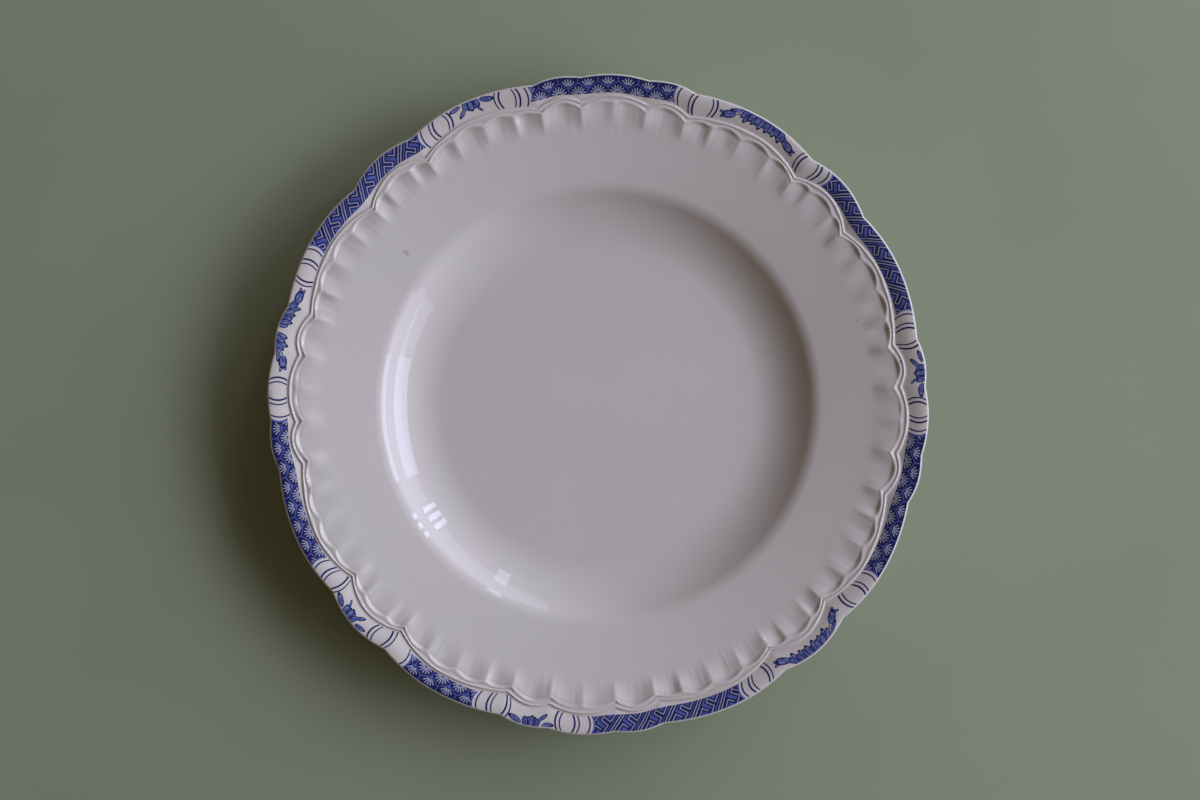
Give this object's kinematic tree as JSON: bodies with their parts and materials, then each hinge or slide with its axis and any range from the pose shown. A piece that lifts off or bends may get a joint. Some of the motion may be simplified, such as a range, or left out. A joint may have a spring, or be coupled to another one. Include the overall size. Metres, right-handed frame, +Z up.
{
  "type": "dinner plate",
  "caption": "Round china dinner plate with a scalloped, fluted and double-beaded edge, a wide marly, a deep well on a foot ring and a blue printed border.",
  "frame": {"origin": "on the plate's axis, in the plane that the foot ring stands on", "axes": "+Z up along the plate's axis, out of the face; +Y through the middle of one of the four front lobes; the printed panels follow each other anticlockwise from +X"},
  "size_m": [0.256, 0.256, 0.0264],
  "materials": {
    "glazed_china": "clear gloss glaze over an off-white clay body",
    "worn_foot": "bare fired clay, rubbed smooth and darkened by use",
    "cobalt_print": "dark cobalt lines printed under clear gloss glaze",
    "cobalt_wash_print": "mid blue stippled print under clear gloss glaze"
  },
  "bodies": {
    "root": {"well": "glazed_china", "booge": "glazed_china", "marly": "glazed_china", "moulded_edge": "glazed_china", "foot_ring": "worn_foot", "fret_panel_1": "cobalt_print", "fret_panel_2": "cobalt_print", "fret_panel_3": "cobalt_print", "fan_panel_1": "cobalt_print", "fan_panel_2": "cobalt_print", "fan_panel_3": "cobalt_print", "fan_panel_4": "cobalt_print", "chrysanthemum_1": "cobalt_wash_print", "chrysanthemum_2": "cobalt_wash_print", "chrysanthemum_3": "cobalt_wash_print", "sprig_1": "cobalt_wash_print", "sprig_2": "cobalt_wash_print", "sprig_3": "cobalt_wash_print", "sprig_4": "cobalt_wash_print", "ring_medallions": "cobalt_print"}
  },
  "joints": []
}
